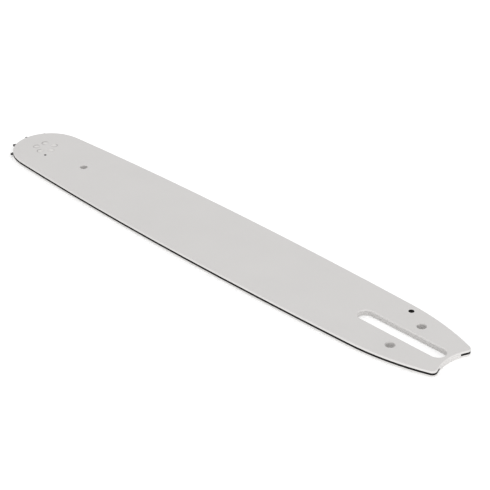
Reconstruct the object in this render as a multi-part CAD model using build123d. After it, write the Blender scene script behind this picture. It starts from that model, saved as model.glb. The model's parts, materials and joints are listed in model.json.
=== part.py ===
from build123d import *
import os
from math import cos, radians, sin, sqrt

# Chainsaw guide bar: a laminated bar with a sprocket nose, lying flat on its lower side plate.
# Two identical side plates hold a narrower core plate between them, which leaves a groove for the
# chain round the edge. At the nose a star sprocket turns on loose rollers, round a race that five
# flush rivets clamp between the side plates.
# Millimetres. The nose points to -X, the tail to +X, +Z is up and the underside is at Z = 0.

# Driving dimensions: laminations
plate_thickness = 1.5
groove_width = 1.5
groove_depth = 8.6
edge_round = 0.5

# Driving dimensions: outline. Stations are distances from the tail corners, towards the nose
bar_length = 437.9
widest_half_width = 34.3
widest_station = 215.0
aft_edge_radius = 4200.0
nose_radius = 27.4
nose_flare = 0.7
shoulder_radius = 41.0
tail_flank_radius = 190.0
tail_corner_radius = 3.5
tail_corner_half_spacing = 16.5
tail_hollow_depth = 3.6

# Driving dimensions: holes in the laminations
slot_width = 12.0
slot_length = 73.2
slot_web = 3.2
tensioner_hole_diameter = 7.0
tensioner_hole_station = 39.4
tensioner_hole_spacing = 31.0
oil_hole_diameter = 4.0
oil_hole_station = 56.0
oil_hole_to_groove_floor = 2.05
hang_hole_diameter = 6.0
hang_hole_to_sprocket = 47.3

# Driving dimensions: nose sprocket
sprocket_lead = 3.3
tooth_count = 11
tooth_reach = 3.7
tooth_tip_width = 0.9
tooth_flank_angle = 27.0
tooth_tip_round = 0.3
gullet_radius = 4.0
tooth_phase = 242.0
tooth_to_core_gap = 1.5
side_clearance = 0.1

# Driving dimensions: nose bearing and rivets
rivet_count = 5
rivet_circle_radius = 7.35
rivet_shank_diameter = 3.2
rivet_head_diameter = 5.4
rivet_head_height = 0.9
rivet_head_rim = 0.12
rivet_pip_diameter = 1.9
rivet_channel_width = 1.4
rivet_channel_depth = 0.4
rivet_clearance = 0.03
race_rim = 1.8
roller_count = 24
roller_gap = 0.1
roller_clearance = 0.06
grease_hole_diameter = 2.0
grease_hole_inset = 0.5
grease_hole_angle = -39.0

# Levels
bar_thickness = 2 * plate_thickness + groove_width
middle_level = bar_thickness / 2
running_width = groove_width - 2 * side_clearance

# Nose bearing: a full ring of rollers fills the space between the race and the sprocket's bore
rivet_hole_radius = rivet_shank_diameter / 2 + rivet_clearance
race_radius = rivet_circle_radius + rivet_hole_radius + race_rim
half_roller_step = sin(radians(180 / roller_count))
roller_track_radius = race_radius + roller_clearance
roller_diameter = (2 * roller_track_radius * half_roller_step - roller_gap) / (1 - half_roller_step)
roller_circle_radius = roller_track_radius + roller_diameter / 2
sprocket_bore_radius = roller_circle_radius + roller_diameter / 2 + roller_clearance
tooth_tip_radius = nose_radius - sprocket_lead + tooth_reach


def sprocket_profile():
    """Star wheel round the origin: a disc with a rounded V between each two teeth, and a bore."""
    half_step = 180 / tooth_count
    flank_slope = half_step + tooth_flank_angle
    tip_corner = Vector(tooth_tip_radius, -tooth_tip_width / 2).rotate(Axis.Z, half_step)
    gullet_root = tip_corner.X - tip_corner.Y / sin(radians(flank_slope)) * cos(radians(flank_slope))
    mouth = Vector(tooth_tip_radius, 0).rotate(Axis.Z, flank_slope) + Vector(gullet_root, 0)
    gullet = make_face(Polyline((gullet_root, 0), (mouth.X, mouth.Y), (mouth.X, -mouth.Y), close=True))
    gullet = fillet(gullet.vertices().sort_by(Axis.X)[0], gullet_radius)
    star = Circle(tooth_tip_radius)
    star -= [Rot(Z=tooth_phase + half_step + 2 * half_step * tooth) * gullet for tooth in range(tooth_count)]
    tip_corners = star.vertices().group_by(lambda corner: round(Vector(corner).length, 3))[-1]
    star = fillet(tip_corners, tooth_tip_round)
    return star - Circle(sprocket_bore_radius)


# Places along X: the origin is midway between the tail corners and the furthest reach of the nose
axis_station = bar_length - nose_radius + sprocket_lead
sprocket_reach = -sprocket_profile().bounding_box().min.X
tail_x = max(bar_length, axis_station + sprocket_reach) / 2
axis_centre = Vector(tail_x - axis_station, 0)
nose_centre = axis_centre + Vector(sprocket_lead, 0)


def station(distance):
    """X of a distance from the tail corners."""
    return tail_x - distance


def ring(radius, count):
    """Places evenly spaced on a circle round the sprocket's axis, the first one towards the tail."""
    return [axis_centre + Vector(radius, 0).rotate(Axis.Z, 360 / count * number) for number in range(count)]


def towards(start, goal, distance):
    """Point at a distance from start, in the direction of goal."""
    return start + (goal - start).normalized() * distance


def beyond(start, goal, distance):
    """Point at a distance past goal, on the line from start through goal."""
    return goal + (goal - start).normalized() * distance


def arc_round(centre, start, end):
    """The shorter arc from start to end round a centre."""
    middle = towards(centre, (start + end) / 2, (start - centre).length)
    return ThreePointArc(start, middle, end)


def reaching(centre_a, reach_a, centre_b, reach_b, turn):
    """Point at two distances from two centres, on the left (1) or the right (-1) of the line a to b."""
    line = centre_b - centre_a
    ahead = line.normalized()
    along = (line.length**2 + reach_a**2 - reach_b**2) / (2 * line.length)
    across = sqrt(reach_a**2 - along**2)
    return centre_a + ahead * along + Vector(-ahead.Y, ahead.X) * (turn * across)


# Centres of the tangent arcs that make up the half of the outline on +Y
widest_x = station(widest_station)
fore_run = widest_x - nose_centre.X
fore_drop = widest_half_width - nose_radius - nose_flare
fore_edge_radius = (fore_run**2 + fore_drop**2) / (2 * fore_drop)
fore_centre = Vector(widest_x, widest_half_width - fore_edge_radius)
aft_centre = Vector(widest_x, widest_half_width - aft_edge_radius)
corner_centre = Vector(station(tail_corner_radius), tail_corner_half_spacing)
corner_to_hollow = (tail_corner_half_spacing**2 + tail_hollow_depth**2) / (2 * tail_hollow_depth)
hollow_radius = corner_to_hollow - tail_corner_radius
hollow_centre = Vector(station(tail_hollow_depth - hollow_radius), 0)
shoulder_centre = reaching(
    fore_centre, fore_edge_radius - shoulder_radius, nose_centre, shoulder_radius - nose_radius, -1
)
flank_centre = reaching(
    aft_centre, aft_edge_radius - tail_flank_radius, corner_centre, tail_flank_radius - tail_corner_radius, 1
)


def aft_edge_ends(inset):
    """Ends of the long edge's aft arc, set in from the outline: its widest point and the tail flank."""
    widest = Vector(widest_x, widest_half_width - inset)
    flank_start = beyond(aft_centre, flank_centre, tail_flank_radius - inset)
    return widest, flank_start


def mirrored_face(half_outline):
    """Face inside a half outline and its mirror image across the bar's long axis."""
    return make_face(half_outline + [edge.mirror(Plane.XZ) for edge in half_outline])


def outline_face():
    """Whole outline: nose arc, shoulders, bowed edges, tail flanks, rounded corners and hollow end."""
    nose_tip = nose_centre - Vector(nose_radius, 0)
    nose_end = beyond(shoulder_centre, nose_centre, nose_radius)
    shoulder_end = beyond(fore_centre, shoulder_centre, shoulder_radius)
    widest, flank_start = aft_edge_ends(0)
    corner_start = beyond(flank_centre, corner_centre, tail_corner_radius)
    corner_end = towards(corner_centre, hollow_centre, tail_corner_radius)
    hollow_middle = Vector(station(tail_hollow_depth), 0)
    return mirrored_face([
        arc_round(nose_centre, nose_tip, nose_end),
        arc_round(shoulder_centre, nose_end, shoulder_end),
        arc_round(fore_centre, shoulder_end, widest),
        arc_round(aft_centre, widest, flank_start),
        arc_round(flank_centre, flank_start, corner_start),
        arc_round(corner_centre, corner_start, corner_end),
        arc_round(hollow_centre, corner_end, hollow_middle),
    ])


def shared_holes():
    """Openings that go through all three laminations: stud slot, tensioner holes and hanging hole."""
    slot_middle = station(tail_hollow_depth + slot_web + slot_length / 2)
    tensioner_x = station(tensioner_hole_station)
    tensioner_hole = Pos(tensioner_x, tensioner_hole_spacing / 2) * Circle(tensioner_hole_diameter / 2)
    openings = Pos(slot_middle, 0) * SlotOverall(slot_length, slot_width)
    openings += [tensioner_hole, mirror(tensioner_hole, about=Plane.XZ)]
    openings += Pos(axis_centre.X + hang_hole_to_sprocket, 0) * Circle(hang_hole_diameter / 2)
    return openings


def oil_hole_centre():
    """Centre of the oil hole, which opens into the chain groove just clear of its floor."""
    groove_floor_radius = tail_flank_radius - groove_depth
    offset = station(oil_hole_station) - flank_centre.X
    groove_floor = flank_centre.Y + sqrt(groove_floor_radius**2 - offset**2)
    return Vector(station(oil_hole_station), groove_floor + oil_hole_to_groove_floor)


def grease_hole_centre():
    """Centre of the grease hole, over the outer part of the roller ring."""
    reach = Vector(sprocket_bore_radius - grease_hole_inset, 0)
    return axis_centre + reach.rotate(Axis.Z, grease_hole_angle)


def rivet_holes():
    """Outlines of the holes that the rivets' shanks pass through."""
    return [Pos(place) * Circle(rivet_hole_radius) for place in ring(rivet_circle_radius, rivet_count)]


def side_plate():
    """Side plate above the middle level, with rounded outer edges and a countersink for each rivet."""
    profile = outline_face() - shared_holes() - rivet_holes()
    profile -= Pos(oil_hole_centre()) * Circle(oil_hole_diameter / 2)
    profile -= Pos(grease_hole_centre()) * Circle(grease_hole_diameter / 2)
    plate = extrude(Pos(Z=groove_width / 2) * profile, plate_thickness)
    outer_face = plate.faces().sort_by(Axis.Z)[-1]
    slot_rim = outer_face.inner_wires().sort_by(SortBy.LENGTH)[-1]
    plate = fillet(outer_face.outer_wire().edges() + slot_rim.edges(), edge_round)
    head_radius = rivet_head_diameter / 2 + rivet_clearance
    head_level = bar_thickness / 2 - rivet_head_height / 2
    countersink = Pos(Z=head_level) * Cone(rivet_hole_radius, head_radius, rivet_head_height)
    return plate - [Pos(place) * countersink for place in ring(rivet_circle_radius, rivet_count)]


def core_plate():
    """Core plate, set in by the depth of the groove, flush at the tail and hollowed round the sprocket."""
    fore_end = Vector(nose_centre.X, nose_radius + nose_flare - groove_depth)
    widest, flank_start = aft_edge_ends(groove_depth)
    flank_radius = tail_flank_radius - groove_depth
    flank_run = tail_x - flank_centre.X
    flank_end = Vector(tail_x, flank_centre.Y + sqrt(flank_radius**2 - flank_run**2))
    profile = mirrored_face([
        Line(nose_centre, fore_end),
        arc_round(fore_centre, fore_end, widest),
        arc_round(aft_centre, widest, flank_start),
        arc_round(flank_centre, flank_start, flank_end),
        Line(flank_end, (tail_x, 0)),
    ])
    profile -= shared_holes()
    profile -= Pos(hollow_centre) * Circle(hollow_radius)
    profile -= Pos(axis_centre) * Circle(tooth_tip_radius + tooth_to_core_gap)
    return extrude(profile, groove_width / 2, both=True)


def inner_race():
    """Disc that the rollers run round, clamped between the side plates."""
    profile = Pos(axis_centre) * Circle(race_radius) - rivet_holes()
    return extrude(profile, groove_width / 2, both=True)


def rivet():
    """Flush rivet with a conical head at each end, and a V channel in each head round a small pip."""
    half_length = bar_thickness / 2
    head_radius = rivet_head_diameter / 2
    shank_radius = rivet_shank_diameter / 2
    cone_run = (head_radius - shank_radius) / rivet_head_height
    rim_radius = head_radius - cone_run * rivet_head_rim
    pip_radius = rivet_pip_diameter / 2
    upper_section = [
        (0, half_length),
        (pip_radius, half_length),
        (pip_radius + rivet_channel_width / 2, half_length - rivet_channel_depth),
        (pip_radius + rivet_channel_width, half_length),
        (rim_radius - rivet_head_rim, half_length),
        (rim_radius, half_length - rivet_head_rim),
        (shank_radius, half_length - rivet_head_height),
    ]
    lower_section = [(reach, -level) for reach, level in reversed(upper_section)]
    section = make_face(Polyline(*upper_section, *lower_section, close=True))
    return revolve(Plane.XZ * section, Axis.Z)


# Assembly, built round the level midway through the bar and then lifted to stand on its underside
stamped_plate = side_plate()
sprocket_outline = Pos(axis_centre) * sprocket_profile()
pieces = {
    "upper_side_plate": stamped_plate,
    "lower_side_plate": Rot(X=180) * stamped_plate,
    "core_plate": core_plate(),
    "nose_sprocket": extrude(sprocket_outline, running_width / 2, both=True),
    "bearing_inner_race": inner_race(),
    "nose_rivets": Compound([Pos(place) * rivet() for place in ring(rivet_circle_radius, rivet_count)]),
}
for number, place in enumerate(ring(roller_circle_radius, roller_count), start=1):
    pieces[f"bearing_roller_{number:02d}"] = Pos(place) * Cylinder(roller_diameter / 2, running_width)

os.makedirs("parts", exist_ok=True)
for name, piece in pieces.items():
    export_step(Pos(Z=middle_level) * piece, f"parts/{name}.step")
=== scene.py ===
# %% [markdown]
# # A chainsaw guide bar on a white table
# A guide bar carries the chain of a saw. This one is a sandwich of three steel plates: two pale painted
# side plates and a narrower dark core, which leaves a groove for the chain all round the edge. A small
# toothed wheel turns at the nose. The shapes could be modelled here, but they come ready made and at
# their real size, in metres. So this lesson only gives them their finishes, a table, light and a
# camera.

# %% Load the bar
import json
import math

import bpy
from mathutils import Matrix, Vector


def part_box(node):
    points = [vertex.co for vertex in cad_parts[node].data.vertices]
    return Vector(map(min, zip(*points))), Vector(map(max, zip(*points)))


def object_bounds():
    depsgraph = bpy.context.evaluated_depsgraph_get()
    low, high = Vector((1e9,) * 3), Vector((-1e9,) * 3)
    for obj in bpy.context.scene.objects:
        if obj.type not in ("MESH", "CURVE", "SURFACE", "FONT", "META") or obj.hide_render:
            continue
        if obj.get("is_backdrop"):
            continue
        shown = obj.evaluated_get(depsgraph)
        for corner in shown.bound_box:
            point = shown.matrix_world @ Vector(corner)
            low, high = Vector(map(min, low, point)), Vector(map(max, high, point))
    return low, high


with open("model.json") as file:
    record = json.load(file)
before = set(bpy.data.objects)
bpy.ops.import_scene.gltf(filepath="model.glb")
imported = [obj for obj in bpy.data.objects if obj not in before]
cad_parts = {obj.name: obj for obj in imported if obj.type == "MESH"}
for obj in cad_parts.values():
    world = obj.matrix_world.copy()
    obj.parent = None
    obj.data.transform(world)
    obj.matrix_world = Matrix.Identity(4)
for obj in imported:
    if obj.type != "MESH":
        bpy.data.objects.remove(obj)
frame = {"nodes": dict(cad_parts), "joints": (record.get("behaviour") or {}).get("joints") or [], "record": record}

MM = 0.001
cad_low, cad_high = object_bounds()
pieces = frame["nodes"]
print("pieces:", len(pieces))
print("size in mm:", [round(side / MM, 1) for side in cad_high - cad_low])

# %% [markdown]
# ## Where things are
# Later steps need to know where the slot, the holes and the plates' levels are. They could be typed in
# again, but then they would stay behind if the bar changed. The record that comes with the bar lists
# the places where it is fastened and the axis of its wheel, so the numbers are read from there and from
# the pieces' boxes.

# %% Read places from the record
mounts = {mount["name"]: mount for mount in frame["record"]["mounts"]}
joints = {joint["name"]: joint for joint in frame["joints"]}
wheel_axis = Vector(joints["sprocket_spin"]["pos_m"])
tail_x = cad_high.x
top_level = cad_high.z
middle_level = (cad_low.z + cad_high.z) / 2
core_low, core_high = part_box("core_plate")
half_groove = (core_high.z - core_low.z) / 2
print("groove in mm:", round(2 * half_groove / MM, 2))
print("wheel axis at x in mm:", round(wheel_axis.x / MM, 1))

# %% [markdown]
# ## Camera
# The picture looks down at the bar from its tail, with a long lens that keeps the edges nearly
# parallel. A camera can be dragged into place by eye, but angles are easier to repeat. So the aim is a
# point on the upper side, and the camera stands at a compass angle, a height angle and a distance from
# it.

# %% Make the camera
VIEW_AZIMUTH = math.radians(45.76)
VIEW_ELEVATION = math.radians(30.37)
VIEW_DISTANCE = 1.1632
AIM_FROM_TAIL = 0.19494
AIM_ACROSS = 0.00618
LENS_MM = 120.8
SENSOR_MM = 36
scene = bpy.context.scene


def direction(azimuth, elevation):
    """Unit vector from the bar towards a compass angle, which is 0 on the -Y side, and a height angle."""
    level = math.cos(elevation)
    return Vector((math.sin(azimuth) * level, -math.cos(azimuth) * level, math.sin(elevation)))


def look_at(thing, target):
    """Turns a camera or a lamp so that it faces a point."""
    thing.rotation_euler = (target - thing.location).to_track_quat("-Z", "Y").to_euler()


aim = Vector((tail_x - AIM_FROM_TAIL, AIM_ACROSS, top_level))
camera = bpy.data.objects.new("camera", bpy.data.cameras.new("camera"))
camera.data.sensor_width = SENSOR_MM
camera.data.lens = LENS_MM
camera.location = aim + VIEW_DISTANCE * direction(VIEW_AZIMUTH, VIEW_ELEVATION)
look_at(camera, aim)
scene.collection.objects.link(camera)
scene.camera = camera
scene.view_settings.view_transform = "Standard"
print("camera at", [round(value, 3) for value in camera.location])

# %% [markdown]
# ## Helpers for shader nodes
# A finish in Blender is a small graph of nodes. It could be wired up by hand in the editor, but a
# script can be read and repeated. In a script the same lines come back for every node, so each kind of
# node gets a short helper that makes it, feeds it and hands back its result. The first two feed a
# socket and calculate.

# %% Helpers that feed and calculate


def feed(tree, socket, value):
    """Links a socket to another socket, or sets it to a plain value."""
    if isinstance(value, bpy.types.NodeSocket):
        tree.links.new(value, socket)
    else:
        socket.default_value = value


def calc(tree, operation, *values):
    """Result of a Math node."""
    node = tree.nodes.new("ShaderNodeMath")
    node.operation = operation
    for socket, value in zip(node.inputs, values):
        feed(tree, socket, value)
    return node.outputs[0]


print("helpers that feed and calculate are ready")

# %% [markdown]
# ### Uneven surfaces
# Paint, oil and dirt are never even: each varies in lumps of its own size. Pictures of them could be
# wrapped round the bar, but they would blur up close and show seams. A noise is worked out for every
# point in space, so it is sharp at any distance, and a smooth step picks out the part of its range that
# matters.

# %% Helpers for uneven surfaces


def noise(tree, place, scale, detail):
    """Value of a Noise texture whose lumps are about 1 / scale metres apart."""
    node = tree.nodes.new("ShaderNodeTexNoise")
    feed(tree, node.inputs["Vector"], place)
    node.inputs["Scale"].default_value = scale
    node.inputs["Detail"].default_value = detail
    return node.outputs[0]


def smooth_step(tree, value, low, high, start=0.0, end=1.0):
    """Changes smoothly from start to end as value goes from low to high."""
    node = tree.nodes.new("ShaderNodeMapRange")
    node.interpolation_type = "SMOOTHSTEP"
    for index, setting in enumerate((value, low, high, start, end)):
        feed(tree, node.inputs[index], setting)
    return node.outputs[0]


print("helpers for uneven surfaces are ready")

# %% [markdown]
# ## Node groups
# Several finishes share an effect: the paint is on the plates, the rivets and parts of the core, and
# the oiled steel is on the core, the inner faces and the wheel. The nodes could be repeated in each
# material, but then every change would have to be made in each. A node group holds the effect once.
# Each material places the group with its own numbers and keeps its own shader.

# %% Start a node group


def new_group(name, inputs, outputs):
    """Empty shader node group with float or colour sockets, and its input and output sockets."""
    group = bpy.data.node_groups.new(name, "ShaderNodeTree")
    for in_out, sockets in (("INPUT", inputs), ("OUTPUT", outputs)):
        for socket_name, kind in sockets:
            group.interface.new_socket(socket_name, in_out=in_out, socket_type=f"NodeSocket{kind}")
    return group, group.nodes.new("NodeGroupInput").outputs, group.nodes.new("NodeGroupOutput").inputs


def place_group(tree, group, **settings):
    """Puts a group into a material. Setting names are the group's input names, with _ for a space."""
    node = tree.nodes.new("ShaderNodeGroup")
    node.node_tree = group
    for name, value in settings.items():
        feed(tree, node.inputs[name.replace("_", " ")], value)
    return node.outputs


def object_place(tree):
    """Position in the piece's own frame, which stays with the piece when it turns."""
    return tree.nodes.new("ShaderNodeTexCoord").outputs["Object"]


print("group helpers are ready")

# %% [markdown]
# ### Sprayed paint
# The plates are sprayed a pale warm grey. Sprayed paint has broad clouds of tone, a fine orange-peel
# surface and a grain of pigment. Real bumps of a few microns would need millions of faces, so the peel
# is a height for a Bump node, and the clouds and the grain change the colour and the roughness a
# little.

# %% Group: sprayed paint
CLOUD_SCALE = 26
PEEL_SCALE = 950
GRAIN_SCALE = 5200
NOISE_MIDDLE = 0.5
GRAIN_TINT = 0.012
TINT_RANGE = (0.25, 0.75)
GRAIN_ROUGHNESS = 0.05
ROUGHNESS_RANGE = (0.2, 0.8)
GRAIN_HEIGHT = 0.15
paint_group, given, result = new_group(
    "sprayed_paint",
    [("Paint Color", "Color"), ("Cloud Depth", "Float"), ("Base Roughness", "Float")],
    [("Color", "Color"), ("Roughness", "Float"), ("Height", "Float")],
)
place = object_place(paint_group)
cloud = noise(paint_group, place, CLOUD_SCALE, detail=2)
peel = noise(paint_group, place, PEEL_SCALE, detail=2)
grain = noise(paint_group, place, GRAIN_SCALE, detail=1)
cloud = calc(paint_group, "SUBTRACT", cloud, NOISE_MIDDLE)
tone = calc(paint_group, "MULTIPLY_ADD", cloud, given["Cloud Depth"], 1)
tint = smooth_step(paint_group, grain, *TINT_RANGE, -GRAIN_TINT, GRAIN_TINT)
shade = paint_group.nodes.new("ShaderNodeVectorMath")
shade.operation = "SCALE"
feed(paint_group, shade.inputs["Vector"], given["Paint Color"])
feed(paint_group, shade.inputs["Scale"], calc(paint_group, "ADD", tone, tint))
feed(paint_group, result["Color"], shade.outputs["Vector"])
speckle = smooth_step(paint_group, grain, *ROUGHNESS_RANGE, -GRAIN_ROUGHNESS, GRAIN_ROUGHNESS)
feed(paint_group, result["Roughness"], calc(paint_group, "ADD", given["Base Roughness"], speckle))
feed(paint_group, result["Height"], calc(paint_group, "MULTIPLY_ADD", grain, GRAIN_HEIGHT, peel))
print("group", paint_group.name, "has", len(paint_group.nodes), "nodes")

# %% [markdown]
# ### Oiled steel
# The groove, the core and the wheel are bare steel, dark from heat treatment and oil. Oil lies in
# blotches that are darker and smoother than the dry steel, and the mill's rolling leaves faint lines
# along the bar. The lines could be a Wave texture, but its waves are as even as a comb. Here they are a
# noise whose X is squeezed before it is looked up, which draws its lumps out along the bar.

# %% Group: oiled steel
BLOTCH_SCALE = 160
BLOTCH_RANGE = (0.35, 0.65)
SMOOTHER_WHERE_WET = 0.12
LINE_SCALE = 2600
ROUGHER_ON_LINES = 0.14


def mix_colour(tree, share, first, second):
    """First colour at share 0, second colour at share 1."""
    node = tree.nodes.new("ShaderNodeMix")
    node.data_type = "RGBA"
    for index, value in ((0, share), (6, first), (7, second)):
        feed(tree, node.inputs[index], value)
    return node.outputs[2]


steel_group, given, result = new_group(
    "oiled_steel",
    [
        ("Dry Color", "Color"),
        ("Wet Color", "Color"),
        ("Base Roughness", "Float"),
        ("Line Squeeze", "Float"),
    ],
    [("Color", "Color"), ("Roughness", "Float"), ("Height", "Float")],
)
place = object_place(steel_group)
squeeze = steel_group.nodes.new("ShaderNodeCombineXYZ")
feed(steel_group, squeeze.inputs["X"], given["Line Squeeze"])
squeeze.inputs["Y"].default_value = 1
squeeze.inputs["Z"].default_value = 1
squeezed = steel_group.nodes.new("ShaderNodeVectorMath")
squeezed.operation = "MULTIPLY"
feed(steel_group, squeezed.inputs[0], place)
feed(steel_group, squeezed.inputs[1], squeeze.outputs["Vector"])
lines = noise(steel_group, squeezed.outputs["Vector"], LINE_SCALE, detail=2)
blotch = smooth_step(steel_group, noise(steel_group, place, BLOTCH_SCALE, detail=3), *BLOTCH_RANGE)
colour = mix_colour(steel_group, blotch, given["Dry Color"], given["Wet Color"])
roughness = calc(steel_group, "MULTIPLY_ADD", blotch, -SMOOTHER_WHERE_WET, given["Base Roughness"])
roughness = calc(steel_group, "MULTIPLY_ADD", lines, ROUGHER_ON_LINES, roughness)
feed(steel_group, result["Color"], colour)
feed(steel_group, result["Roughness"], roughness)
feed(steel_group, result["Height"], lines)
print("group", steel_group.name, "has", len(steel_group.nodes), "nodes")

# %% [markdown]
# ### Inside the groove
# The bar is painted after its plates are joined, so the spray reaches the sides, the outer edges and
# the walls of slot and holes, but not the groove. The bare inner faces of the side plates could get a
# second material, face by face. A mask by height needs no list: those faces lie within half a groove of
# the middle level.

# %% Group: inside the groove


def split_place(tree):
    """Position in the piece's own frame as three numbers, X, Y and Z."""
    node = tree.nodes.new("ShaderNodeSeparateXYZ")
    feed(tree, node.inputs[0], object_place(tree))
    return node.outputs


groove_group, given, result = new_group("inside_groove", [("Half Width", "Float")], [("Mask", "Float")])
off_middle = calc(groove_group, "SUBTRACT", split_place(groove_group)["Z"], middle_level)
off_middle = calc(groove_group, "ABSOLUTE", off_middle)
feed(groove_group, result["Mask"], calc(groove_group, "LESS_THAN", off_middle, given["Half Width"]))
print("group", groove_group.name, "has", len(groove_group.nodes), "nodes")

# %% [markdown]
# ### Near an opening
# On the core it is the other way round: paint lies only where an opening lets the spray in. Each
# opening is a round hole or a slot with round ends, and each could have a mask of its own shape. But a
# slot is all that lies within reach of a straight run, and a run of 0 makes a hole, so one group serves
# them all.

# %% Group: near an opening


def length_of(tree, first, second):
    """Length of the long side of a right triangle."""
    squares = [calc(tree, "MULTIPLY", side, side) for side in (first, second)]
    return calc(tree, "SQRT", calc(tree, "ADD", *squares))


opening_group, given, result = new_group(
    "near_opening",
    [("Centre X", "Float"), ("Centre Y", "Float"), ("Half Run", "Float"), ("Reach", "Float")],
    [("Mask", "Float")],
)
spot = split_place(opening_group)
along = calc(opening_group, "ABSOLUTE", calc(opening_group, "SUBTRACT", spot["X"], given["Centre X"]))
past_run = calc(opening_group, "MAXIMUM", calc(opening_group, "SUBTRACT", along, given["Half Run"]), 0)
across = calc(opening_group, "SUBTRACT", spot["Y"], given["Centre Y"])
distance = length_of(opening_group, past_run, across)
feed(opening_group, result["Mask"], calc(opening_group, "LESS_THAN", distance, given["Reach"]))
print("group", opening_group.name, "has", len(opening_group.nodes), "nodes")

# %% [markdown]
# ### Seams round the rivets
# Five rivets hold the bearing at the nose. Their heads are flush, and a soft dark ring is painted round each
# along the seam between head and plate: painted shade of the narrow seam, with some dirt in it. It lies on the
# plate and on the rivet, so it is a group. Five rings could be placed one by one, but the rivets stand evenly on
# a circle, the first one on the tail side of the wheel's axis. Turning a point back by whole steps
# round that axis brings every rivet onto the first, and then one distance is enough. A broad noise makes
# some seams fainter than others.

# %% Group: seam round each rivet
RIVET_STEP = math.radians(72)
HEAD_RADIUS = 2.7 * MM
DIRT_AND_SHADE_SCALE = 131
DIRT_AND_SHADE_RANGE = (0.36, 0.54)
FAINT_SEAM = 0.15
rivets_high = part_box("nose_rivets")[1]
rivet_circle = rivets_high.x - wheel_axis.x - HEAD_RADIUS
seam_group, given, result = new_group(
    "rivet_seam", [("Ring Radius", "Float"), ("Half Width", "Float")], [("Mask", "Float")]
)
spot = split_place(seam_group)
from_axis = calc(seam_group, "SUBTRACT", spot["X"], wheel_axis.x)
radius = length_of(seam_group, from_axis, spot["Y"])
angle = calc(seam_group, "ARCTAN2", spot["Y"], from_axis)
whole_steps = calc(seam_group, "ROUND", calc(seam_group, "DIVIDE", angle, RIVET_STEP))
turned = calc(seam_group, "MULTIPLY_ADD", whole_steps, -RIVET_STEP, angle)
outward = calc(seam_group, "MULTIPLY_ADD", calc(seam_group, "COSINE", turned), radius, -rivet_circle)
sideways = calc(seam_group, "MULTIPLY", calc(seam_group, "SINE", turned), radius)
from_rivet = length_of(seam_group, outward, sideways)
# The ring darkens the paint: painted shade along the seam, with some dirt.
off_ring = calc(seam_group, "ABSOLUTE", calc(seam_group, "SUBTRACT", from_rivet, given["Ring Radius"]))
ring = smooth_step(seam_group, off_ring, 0, given["Half Width"], start=1, end=0)
uneven_dirt_and_shade = noise(seam_group, object_place(seam_group), DIRT_AND_SHADE_SCALE, detail=1)
uneven_dirt_and_shade = smooth_step(seam_group, uneven_dirt_and_shade, *DIRT_AND_SHADE_RANGE, start=FAINT_SEAM, end=1)
feed(seam_group, result["Mask"], calc(seam_group, "MULTIPLY", ring, uneven_dirt_and_shade))
print("rivet circle in mm:", round(rivet_circle / MM, 2))

# %% [markdown]
# ## Materials
# Every finish needs a material with a shader, a bumpy normal and a way onto its pieces. That could be
# written out each time, but a helper for each keeps the finishes below down to their own numbers.

# %% Start a material


def new_material(name):
    """New material, its graph of nodes and the shader in it."""
    material = bpy.data.materials.new(name)
    material.use_nodes = True
    tree = material.node_tree
    shader = next(node for node in tree.nodes if node.type == "BSDF_PRINCIPLED")
    return material, tree, shader


def bump(tree, height, depth, strength):
    """Normal from a height between 0 and 1 that stands for a depth in metres."""
    node = tree.nodes.new("ShaderNodeBump")
    feed(tree, node.inputs["Height"], height)
    node.inputs["Distance"].default_value = depth
    node.inputs["Strength"].default_value = strength
    return node.outputs["Normal"]


def finish_with(wanted, material):
    """Gives one material to several pieces of the bar."""
    for name in wanted:
        pieces[name].data.materials.clear()
        pieces[name].data.materials.append(material)
    print(material.name, "on", len(wanted), "pieces")


print("material helpers are ready")

# %% [markdown]
# ### Paint over steel
# The plates, the core and the rivets all have paint in some places and dark steel in others, and the same
# mix paints shade. Their faces could be shared out between two materials, but the painted shade also fades
# softly, as along a seam, where no face ends. So one material mixes paint and steel by a mask, and each piece
# brings a mask of its own. The paint is satin: rough enough to blur every reflection into a soft sheen.

# %% Paint over steel
STEEL_DRY = (0.064, 0.062, 0.060, 1)
STEEL_WET = (0.038, 0.037, 0.036, 1)
STEEL_ROUGHNESS = 0.5
LINE_SQUEEZE = 0.06
CLOUD_DEPTH = 0.05
PAINT_ROUGHNESS = 0.56
PAINT_SHINE = 0.35
BUMP_DEPTH = 0.02 * MM
BUMP_STRENGTH = 0.5


def mix_value(tree, share, first, second):
    """First value at share 0, second value at share 1."""
    return calc(tree, "MULTIPLY_ADD", share, calc(tree, "SUBTRACT", second, first), first)


def painted_or_bare(name, colour, mask_of):
    """Material with paint where the mask is 0 and oiled steel where it is 1, also used to paint shade."""
    material, tree, shader = new_material(name)
    paint = place_group(
        tree, paint_group, Paint_Color=colour, Cloud_Depth=CLOUD_DEPTH, Base_Roughness=PAINT_ROUGHNESS
    )
    steel = place_group(
        tree,
        steel_group,
        Dry_Color=STEEL_DRY,
        Wet_Color=STEEL_WET,
        Base_Roughness=STEEL_ROUGHNESS,
        Line_Squeeze=LINE_SQUEEZE,
    )
    mask = mask_of(tree)
    height = mix_value(tree, mask, paint["Height"], steel["Height"])
    feed(tree, shader.inputs["Base Color"], mix_colour(tree, mask, paint["Color"], steel["Color"]))
    feed(tree, shader.inputs["Roughness"], mix_value(tree, mask, paint["Roughness"], steel["Roughness"]))
    feed(tree, shader.inputs["Normal"], bump(tree, height, BUMP_DEPTH, BUMP_STRENGTH))
    shader.inputs["Specular IOR Level"].default_value = PAINT_SHINE
    return material


print("roughness of paint:", PAINT_ROUGHNESS, "and of steel:", STEEL_ROUGHNESS)

# %% [markdown]
# ### Masks that the pieces share
# A seam lies half on the plate and half on the rivet, and openings go through plates and core alike.
# Each piece could wire up such masks by itself, but then the halves might not meet. These functions
# place the groups the same way for all, and put several masks together. The painted shade and dirt of a
# seam are only half as dark as bare steel.

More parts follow.
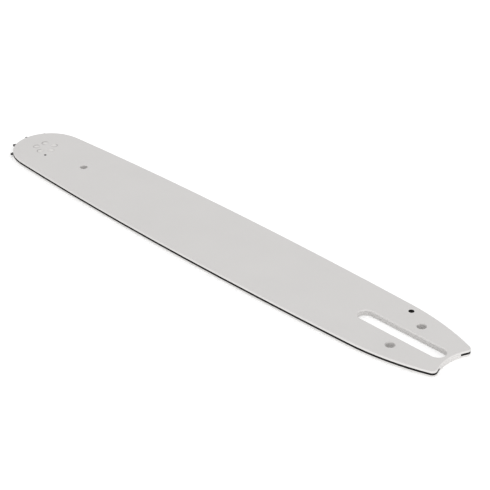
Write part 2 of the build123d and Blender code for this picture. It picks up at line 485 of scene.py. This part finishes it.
# %% Masks that the pieces share
SEAM_RADIUS = 2.45 * MM
SEAM_HALF_WIDTH = 0.75 * MM
SEAM_DEPTH = 0.46


def near(tree, centre, half_run, reach):
    """1 within reach of a hole or a slot."""
    opening = place_group(
        tree, opening_group, Centre_X=centre[0], Centre_Y=centre[1], Half_Run=half_run, Reach=reach
    )
    return opening["Mask"]


def seam_painted_shade_and_dirt(tree):
    """Soft ring of painted shade and dirt along the seam of each rivet."""
    seam = place_group(tree, seam_group, Ring_Radius=SEAM_RADIUS, Half_Width=SEAM_HALF_WIDTH)
    return calc(tree, "MULTIPLY", seam["Mask"], SEAM_DEPTH)


def strongest(tree, masks):
    """The highest of several masks at each point."""
    highest = masks[0]
    for mask in masks[1:]:
        highest = calc(tree, "MAXIMUM", highest, mask)
    return highest


print("seam radius in mm:", round(SEAM_RADIUS / MM, 2), "and width:", round(2 * SEAM_HALF_WIDTH / MM, 2))

# %% [markdown]
# ### Side plates
# The side plates are a pale grey, a touch warm. Each is dark in three places: its inner face is bare steel, and
# the walls of the oil port beside the groove and of the grease port over the rollers are painted as dark as the
# steel, as painted shade in these narrow holes. Their walls could be picked out by hand on each plate, but the
# lower plate is the upper one turned over, with its ports across the middle line, so one function with a side
# of 1 or -1 makes both. The seams round the rivets get their painted shade and dirt as well.

# %% Material: side plates
PLATE_GREY = (0.615, 0.602, 0.592, 1)
OIL_PORT_FROM_TAIL = 56.0 * MM
OIL_PORT_ACROSS = 24.65 * MM
OIL_PORT_RADIUS = 2.0 * MM
GREASE_PORT_ANGLE = math.radians(-39)
GREASE_PORT_FROM_AXIS = 13.54 * MM
GREASE_PORT_RADIUS = 1.0 * MM
WALL_MARGIN = 0.05 * MM


def ports_of_plate(side):
    """Centre and radius of a plate's oil port and grease port. The side is 1 above and -1 below."""
    oil = (tail_x - OIL_PORT_FROM_TAIL, side * OIL_PORT_ACROSS)
    grease_across = side * GREASE_PORT_FROM_AXIS * math.sin(GREASE_PORT_ANGLE)
    grease = (wheel_axis.x + GREASE_PORT_FROM_AXIS * math.cos(GREASE_PORT_ANGLE), grease_across)
    return [(oil, OIL_PORT_RADIUS), (grease, GREASE_PORT_RADIUS)]


def plate_material(name, side):
    """Finish of one side plate."""

    def bare_and_shaded_plate(tree):
        inner_face = place_group(tree, groove_group, Half_Width=half_groove + WALL_MARGIN)["Mask"]
        # The port walls are painted as dark as steel: painted shade of the narrow ports.
        shaded_port_walls = [near(tree, centre, 0, radius + WALL_MARGIN) for centre, radius in ports_of_plate(side)]
        return strongest(tree, [inner_face, seam_painted_shade_and_dirt(tree)] + shaded_port_walls)

    return painted_or_bare(name, PLATE_GREY, bare_and_shaded_plate)


finish_with(["upper_side_plate"], plate_material("upper_plate_paint", 1))
finish_with(["lower_side_plate"], plate_material("lower_plate_paint", -1))

# %% [markdown]
# ### Core plate
# The core is dark on the floor of the groove and painted where the slot, the holes and the hollow end
# of the tail lay it open. Its painted faces could be listed by number, but those change with the mesh.
# The record has the place of each opening, and the hollow end is part of a large circle, so it counts
# as a hole too. Each reaches a little further than its radius.

# %% Material: core
PAINT_MARGIN = 0.3 * MM
HOLLOW_DEPTH = 3.6 * MM
HOLLOW_RADIUS = 36.11 * MM


def openings_of_core():
    """Centre, half straight run and radius of each opening that the paint reaches through."""
    found = []
    for name in ("tensioner_hole_plus_y", "tensioner_hole_minus_y", "hanging_hole"):
        hole = mounts[name]
        found.append((hole["pos_m"], 0, hole["dims"]["r_mm"] * MM))
    slot = mounts["stud_slot"]
    slot_radius = slot["dims"]["hole_r_mm"] * MM
    found.append((slot["pos_m"], slot["dims"]["slot_length_mm"] * MM / 2 - slot_radius, slot_radius))
    found.append(((tail_x - HOLLOW_DEPTH + HOLLOW_RADIUS, 0), 0, HOLLOW_RADIUS))
    return found


def bare_core(tree):
    """0 near an opening and 1 on the rest of the core."""
    painted = []
    for centre, half_run, radius in openings_of_core():
        painted.append(near(tree, centre, half_run, radius + PAINT_MARGIN))
    return calc(tree, "SUBTRACT", 1, strongest(tree, painted))


finish_with(["core_plate"], painted_or_bare("core_finish", PLATE_GREY, bare_core))

# %% [markdown]
# ### Rivets
# The five rivets are set flush and painted with the plates, so little shows but the seams round their
# heads. They could share the plates' grey, but their heads get a lighter grey of their own, a painted
# highlight as on a slightly domed head, inside the painted shade and dirt of the seam.

# %% Material: rivets
# The lighter grey is a painted highlight on the rivet heads.
RIVET_HIGHLIGHT_GREY = (0.68, 0.666, 0.652, 1)
finish_with(["nose_rivets"], painted_or_bare("rivet_paint_and_painted_highlight", RIVET_HIGHLIGHT_GREY, seam_painted_shade_and_dirt))

# %% [markdown]
# ### Toothed wheel
# The star wheel at the nose is hardened, and its black skin is still whole. Plain black could pass for
# plastic, so it is the oiled steel all over, and a little metallic. Its lines have no direction,
# because it was ground and not rolled.

# %% Material: toothed wheel
WHEEL_ROUGHNESS = 0.48
WHEEL_METALLIC = 0.3
LINE_DEPTH = 0.01 * MM
LINE_STRENGTH = 0.4


def bare_steel(name, dry, wet, roughness, metallic):
    """Material of oiled steel all over, with no direction to its lines."""
    material, tree, shader = new_material(name)
    steel = place_group(
        tree, steel_group, Dry_Color=dry, Wet_Color=wet, Base_Roughness=roughness, Line_Squeeze=1
    )
    feed(tree, shader.inputs["Base Color"], steel["Color"])
    feed(tree, shader.inputs["Roughness"], steel["Roughness"])
    feed(tree, shader.inputs["Normal"], bump(tree, steel["Height"], LINE_DEPTH, LINE_STRENGTH))
    shader.inputs["Metallic"].default_value = metallic
    return material


wheel_black = bare_steel("wheel_black", STEEL_DRY, STEEL_WET, WHEEL_ROUGHNESS, WHEEL_METALLIC)
finish_with(["nose_sprocket"], wheel_black)

# %% [markdown]
# ### Bearing
# The race and the rollers are ground bright and greased. They hide between the plates and could be left
# plain, but they show when the bar is opened up. Grease lies in blotches as oil does, so they get the
# same steel in brighter colours, smoother and fully metallic.

# %% Material: bearing
BRIGHT_STEEL = (0.46, 0.46, 0.47, 1)
GREASED_STEEL = (0.30, 0.29, 0.26, 1)
BEARING_ROUGHNESS = 0.32
rollers = sorted(name for name in pieces if name.startswith("bearing_roller"))
bearing_ground = bare_steel("bearing_ground", BRIGHT_STEEL, GREASED_STEEL, BEARING_ROUGHNESS, metallic=1)
finish_with(["bearing_inner_race"] + rollers, bearing_ground)

# %% [markdown]
# ## White table
# A product picture has a white ground with hardly any shadow. More light could give that, but it would
# wash out the bar, so the whiteness belongs to the table. It is white to begin with, and where the
# camera sees it, or a mirror or glass shows it, a faint glow is added. The glow is just enough to thin
# the shadow along the bar, and it lights nothing.

# %% Material: table
TABLE_WHITE = (0.97, 0.97, 0.97, 1)
PURE_WHITE = (1, 1, 1, 1)
GLOW_LEVEL = 0.15
table_material, tree, shader = new_material("white_table")
ray = tree.nodes.new("ShaderNodeLightPath").outputs
mirror_or_glass = calc(tree, "MAXIMUM", ray["Is Glossy Ray"], ray["Is Transmission Ray"])
seen = calc(tree, "MAXIMUM", ray["Is Camera Ray"], mirror_or_glass)
shader.inputs["Base Color"].default_value = TABLE_WHITE
shader.inputs["Roughness"].default_value = 1
shader.inputs["Specular IOR Level"].default_value = 0
shader.inputs["Emission Color"].default_value = PURE_WHITE
feed(tree, shader.inputs["Emission Strength"], calc(tree, "MULTIPLY", seen, GLOW_LEVEL))
print("table reflects", TABLE_WHITE[0], "and glows", GLOW_LEVEL)

# %% [markdown]
# ### Table top
# The table could be a slab with legs, but its edges would draw the eye. One square is enough, at the
# level of the bar's underside and so wide that its rim is far out of the picture.

# %% Table top
TABLE_WIDTH = 30
half_width = TABLE_WIDTH / 2
corners = [(x * half_width, y * half_width, cad_low.z) for x, y in ((-1, -1), (1, -1), (1, 1), (-1, 1))]
floor_mesh = bpy.data.meshes.new("floor")
floor_mesh.from_pydata(corners, [], [(0, 1, 2, 3)])
floor = bpy.data.objects.new("floor", floor_mesh)
floor.data.materials.append(table_material)
scene.collection.objects.link(floor)
floor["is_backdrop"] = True
print("table top at z", round(cad_low.z, 6))

# %% [markdown]
# ## Sky
# The holes are evenly dim and the upper side is one tone, so most of the light comes evenly from all
# round, as in a photographer's white tent. A ring of large lamps could do that, but a plain sky does it
# in one step. At a strength of 1, colours render about as they are written, and what shows beyond the
# table is white as well.

# %% Sky
SKY_LEVEL = 1.0
world = bpy.data.worlds.new("studio")
scene.world = world
world.use_nodes = True
sky = next(node for node in world.node_tree.nodes if node.type == "BACKGROUND")
sky.inputs["Color"].default_value = PURE_WHITE
sky.inputs["Strength"].default_value = SKY_LEVEL
print("sky level:", SKY_LEVEL)

# %% [markdown]
# ## Low lamps
# The end of the tail and the long near edge are brighter than the upper side, yet the walls of the
# small holes are not. A lamp overhead could be turned up, but it would bleach the upper side first:
# only flat light does this. So two lamps stand low over the table. One shines along the slot at the end
# of the tail, and the other grazes the near edge and fades towards the nose. Such flat light would
# glare on the satin paint when the bar is seen from its nose, so the lamps leave no mirror image, as if
# a polarising filter took it out.

# %% Low lamps
LAMP_DISTANCE = 1.6
tail_middle = Vector((tail_x, 0, middle_level))


def low_lamp(name, azimuth, elevation, size, level):
    """Square lamp facing the tail, angles in degrees. Level 1 would light a white sheet to full white."""
    lamp = bpy.data.objects.new(name, bpy.data.lights.new(name, "AREA"))
    lamp.data.shape = "SQUARE"
    lamp.data.size = size
    lamp.data.energy = level * math.pi**2 * LAMP_DISTANCE**2
    towards_lamp = direction(math.radians(azimuth), math.radians(elevation))
    lamp.location = tail_middle + LAMP_DISTANCE * towards_lamp
    lamp.visible_glossy = False
    look_at(lamp, tail_middle)
    scene.collection.objects.link(lamp)
    print(name, "power in watts:", round(lamp.data.energy, 1))


low_lamp("tail_lamp", azimuth=83, elevation=10, size=0.3, level=0.18)
low_lamp("edge_lamp", azimuth=25, elevation=4, size=0.2, level=0.28)

# %% [markdown]
# ## Sizes
# Finishes must not change the bar's size. That could be judged by eye, but numbers are surer: the change
# from the box before to the box now is printed.

# %% Write the sizes and finish
low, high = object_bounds()
growth = (high - low) - (cad_high - cad_low)
print("size change in mm:", [round(side / MM, 3) for side in growth])
